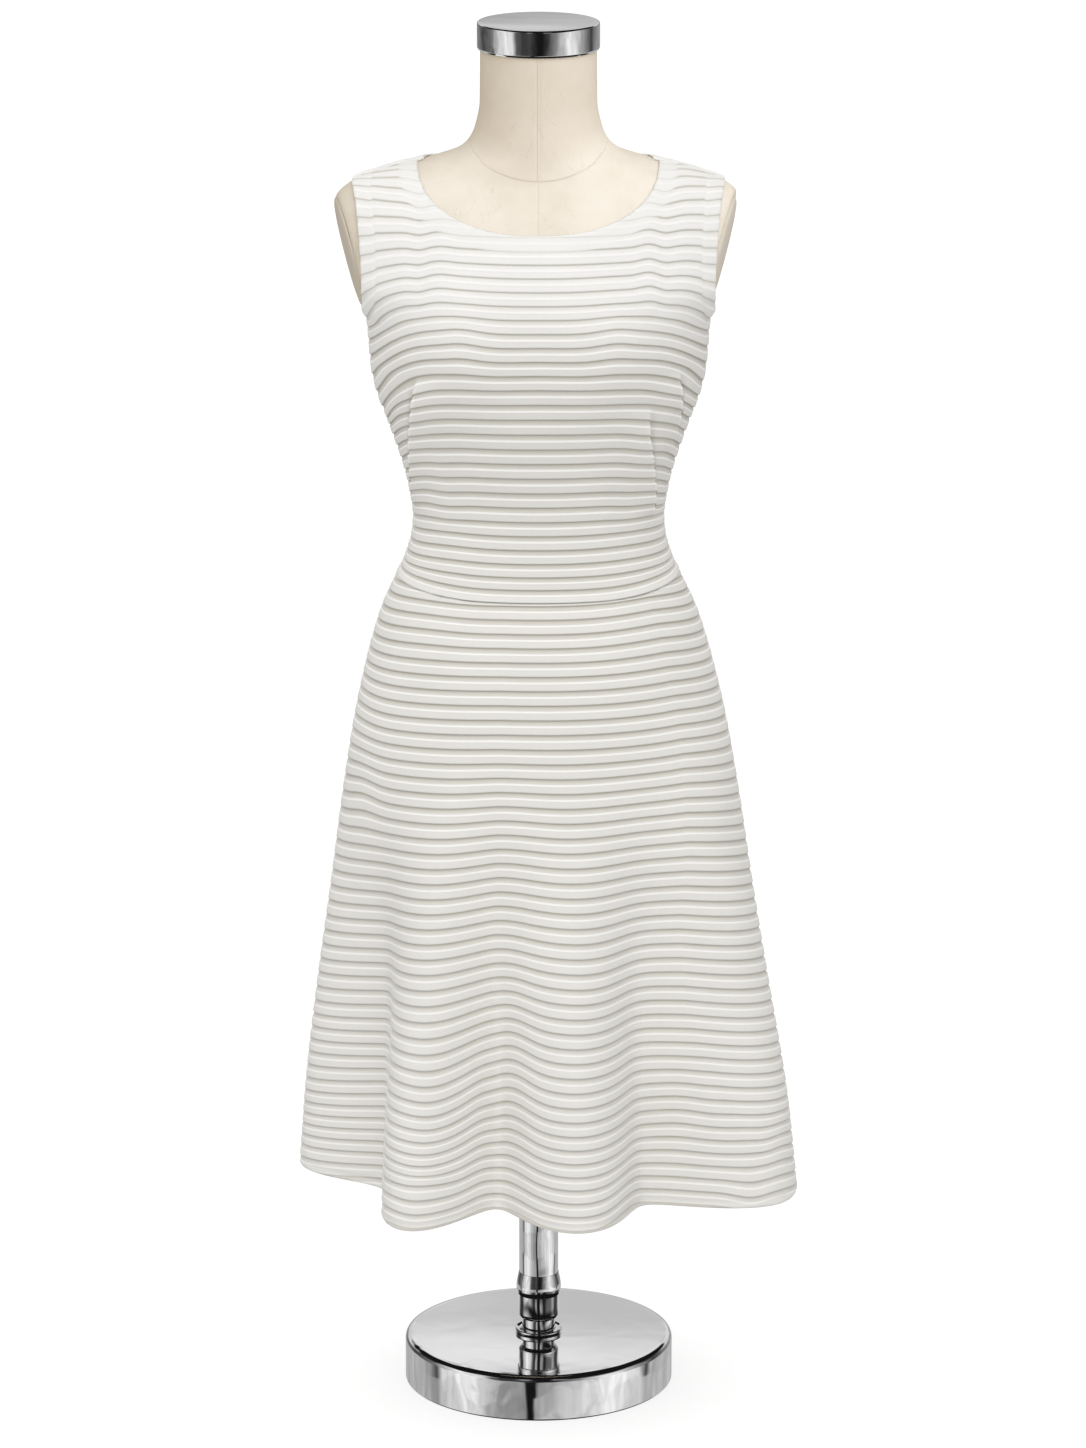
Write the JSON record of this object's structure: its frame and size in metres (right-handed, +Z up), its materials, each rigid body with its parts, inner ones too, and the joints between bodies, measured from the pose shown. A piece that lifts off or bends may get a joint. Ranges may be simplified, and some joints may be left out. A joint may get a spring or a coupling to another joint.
{
  "type": "sheath dress on a dress form",
  "caption": "Sleeveless ribbed dress with a scoop neck, waist seam and flared knee-length skirt, standing on a limbless dress form with a chrome column and round foot.",
  "frame": {"origin": "centre of the round foot's underside, on the floor", "axes": "+Z up along the column, -Y to the front of the dress, +X to the viewer's right as one faces it"},
  "size_m": [0.4792, 0.4146, 1.3365],
  "materials": {
    "ribbed_cloth": "matte, raised horizontal ribs",
    "form_cover": "matte cream linen",
    "arm_plate": "matte, covered plate",
    "chrome": "polished"
  },
  "bodies": {
    "base": {"base_plate": "chrome", "base_flange": "chrome", "pole_lower": "chrome"},
    "form": {"form_torso": "form_cover", "form_neck": "form_cover", "neck_cap": "chrome", "arm_plate_left": "arm_plate", "arm_plate_right": "arm_plate", "pole_upper": "chrome", "pole_collar": "chrome", "bodice_front": "ribbed_cloth", "bodice_back": "ribbed_cloth", "skirt_front": "ribbed_cloth", "skirt_back": "ribbed_cloth"}
  },
  "joints": [
    {"name": "height_slide", "type": "slide", "parent": "base", "child": "form", "axis": [0, 0, 1], "range_m": [0, 0.2]}
  ]
}
